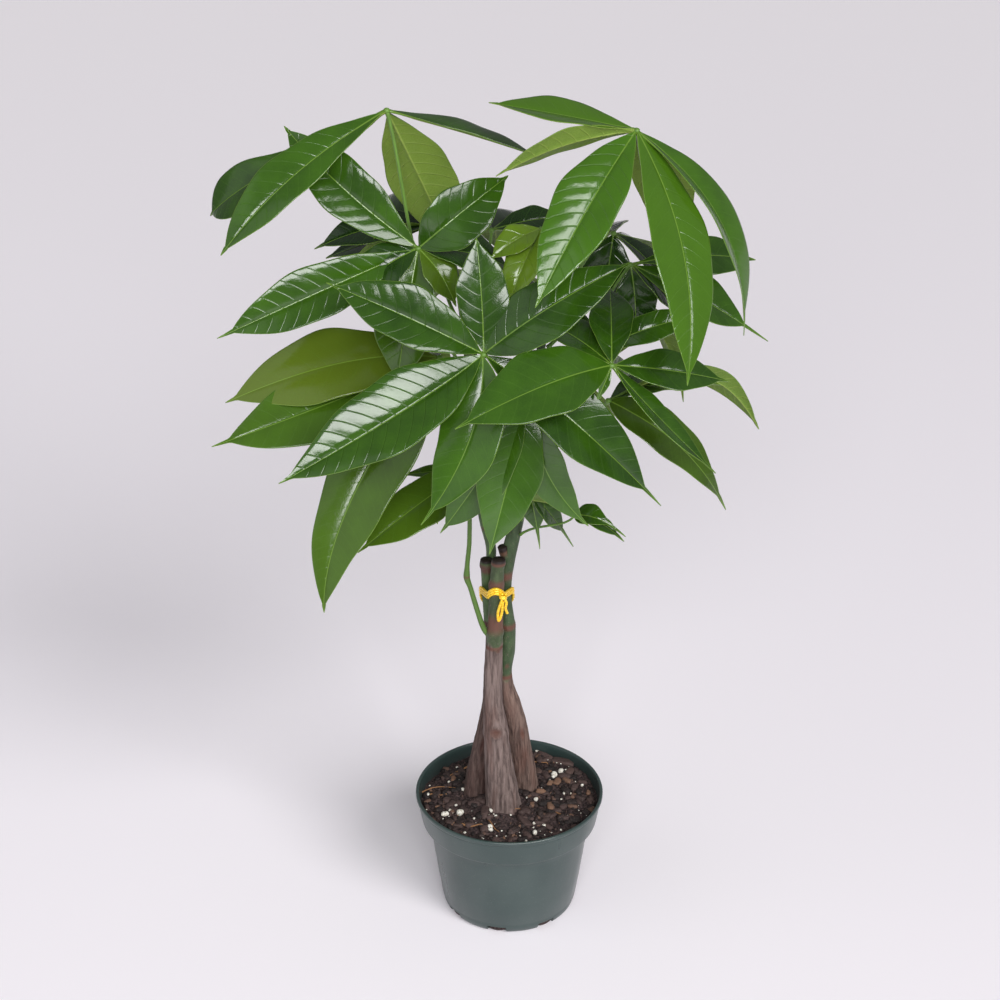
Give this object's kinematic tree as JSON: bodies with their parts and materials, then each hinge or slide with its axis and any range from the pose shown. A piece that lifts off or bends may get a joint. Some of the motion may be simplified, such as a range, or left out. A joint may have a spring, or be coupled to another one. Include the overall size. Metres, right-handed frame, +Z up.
{
  "type": "potted money tree",
  "caption": "House plant with tied fibrous trunks and a crown of palmate leaves, standing in bark soil in a round tapered nursery pot with a rim band.",
  "frame": {"origin": "centre of the pot's underside, where it stands", "axes": "+Z up, -Y towards the plant's front, +X to its right as seen from the front"},
  "size_m": [0.4093, 0.3421, 0.7138],
  "materials": {
    "pot_plastic": "thin moulded plastic, dark grey-green, satin",
    "soil": "loose peat and bark mix with white perlite grains, matt",
    "bark": "grey-brown fibrous bark that turns to smooth green stem above",
    "tie_wire": "gold coated wire, glossy",
    "leaf": "glossy dark green upper side with sunken veins, paler matt underside",
    "young_leaf": "soft yellow-green new leaf, satin"
  },
  "bodies": {
    "root": {"pot": "pot_plastic", "soil": "soil", "trunk_front": "bark", "trunk_right": "bark", "trunk_left": "bark", "tie": "tie_wire", "leaf_top_left": "leaf", "leaf_upper_left": "leaf", "leaf_front": "leaf", "leaf_front_right": "leaf", "leaf_low_right": "leaf", "leaf_top_right": "leaf", "leaf_inner_right": "leaf", "leaf_right": "leaf", "leaf_inner_front": "leaf", "leaf_top_back": "leaf", "leaf_young": "young_leaf", "leaf_left_back": "leaf", "leaf_left": "leaf", "leaf_low_left": "leaf", "leaf_low_front": "leaf", "leaf_lowest_right": "leaf", "leaf_lowest_inner": "leaf", "leaf_back_left": "leaf", "leaf_back_middle": "leaf", "leaf_back_right": "leaf", "leaf_back_low": "leaf", "leaf_back_lowest_left": "leaf"}
  },
  "joints": []
}
